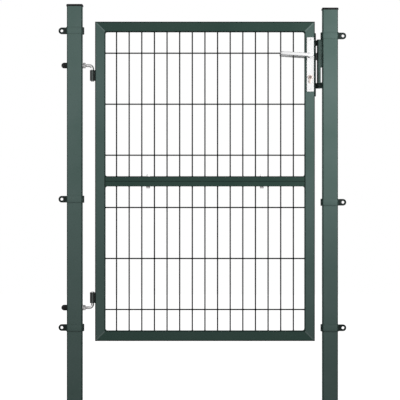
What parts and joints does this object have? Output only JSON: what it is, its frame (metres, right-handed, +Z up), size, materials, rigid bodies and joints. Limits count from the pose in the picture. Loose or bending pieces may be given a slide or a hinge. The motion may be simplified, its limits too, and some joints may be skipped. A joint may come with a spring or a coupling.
{
  "type": "mesh garden gate",
  "caption": "Single-leaf garden gate of square steel tube with welded wire mesh, hung on hook hinges between its two posts, with a lever lock and fence clamps.",
  "frame": {"origin": "centre of the hinge post's foot, on its lower end", "axes": "+X from the hinge post to the latch post, +Y through the leaf away from the side it opens to, +Z up"},
  "size_m": [1.128, 0.15, 1.752],
  "materials": {
    "frame_paint": "moss green powder coat, satin",
    "dark_paint": "moss green powder coat on galvanised strip, satin",
    "mesh_coating": "moss green powder coat on wire, satin",
    "zinc_steel": "bright zinc plate",
    "faceplate_steel": "brushed stainless steel",
    "lever_aluminium": "pale satin anodised",
    "bolt_steel": "nickel plated",
    "cylinder_brass": "nickel plated brass, worn",
    "cap_plastic": "black polyethylene"
  },
  "bodies": {
    "root": {"hinge_post": "frame_paint", "hinge_post_cap": "cap_plastic", "latch_post": "frame_paint", "latch_post_cap": "cap_plastic", "hinge_post_top_clamp": "dark_paint", "hinge_post_middle_clamp": "dark_paint", "hinge_post_bottom_clamp": "dark_paint", "latch_post_top_clamp": "dark_paint", "latch_post_middle_clamp": "dark_paint", "latch_post_bottom_clamp": "dark_paint", "top_hinge_hook": "zinc_steel", "top_hinge_nut": "zinc_steel", "top_hinge_dome_nut": "cap_plastic", "bottom_hinge_hook": "zinc_steel", "bottom_hinge_nut": "zinc_steel", "bottom_hinge_dome_nut": "cap_plastic", "strike_channel": "frame_paint", "strike_block": "frame_paint", "strike_lug": "frame_paint"},
    "leaf": {"top_rail": "frame_paint", "upper_hinge_stile": "frame_paint", "upper_latch_stile": "frame_paint", "upper_middle_rail": "frame_paint", "lower_middle_rail": "frame_paint", "lower_hinge_stile": "frame_paint", "lower_latch_stile": "frame_paint", "bottom_rail": "frame_paint", "upper_mesh": "mesh_coating", "lower_mesh": "mesh_coating", "top_hinge_sleeve": "frame_paint", "bottom_hinge_sleeve": "frame_paint", "left_frame_bolt": "zinc_steel", "right_frame_bolt": "zinc_steel", "lock_case": "bolt_steel", "lock_faceplate": "faceplate_steel", "front_lock_plate": "lever_aluminium", "back_lock_plate": "lever_aluminium", "key_cylinder": "cylinder_brass", "deadbolt": "bolt_steel"},
    "lever": {"front_lever": "lever_aluminium", "back_lever": "lever_aluminium", "lever_spindle": "bolt_steel"},
    "latch": {"latch_bolt": "bolt_steel"}
  },
  "joints": [
    {"name": "leaf_swing", "type": "hinge", "parent": "root", "child": "leaf", "pos_m": [0.0695, 0, 1], "axis": [0, 0, -1], "range_deg": [0, 95]},
    {"name": "lever_turn", "type": "hinge", "parent": "leaf", "child": "lever", "pos_m": [0.922, 0, 1.551], "axis": [0, -1, 0], "range_deg": [0, 40], "stiffness_Nm_per_rad": 1.2, "springref_deg": -28.65},
    {"name": "latch_slide", "type": "slide", "parent": "leaf", "child": "latch", "axis": [-1, 0, 0], "range_m": [0, 0.0121]}
  ],
  "couplings": [
    {"joint": "latch_slide", "follows": "lever_turn", "m_per_rad": 0.0171}
  ]
}
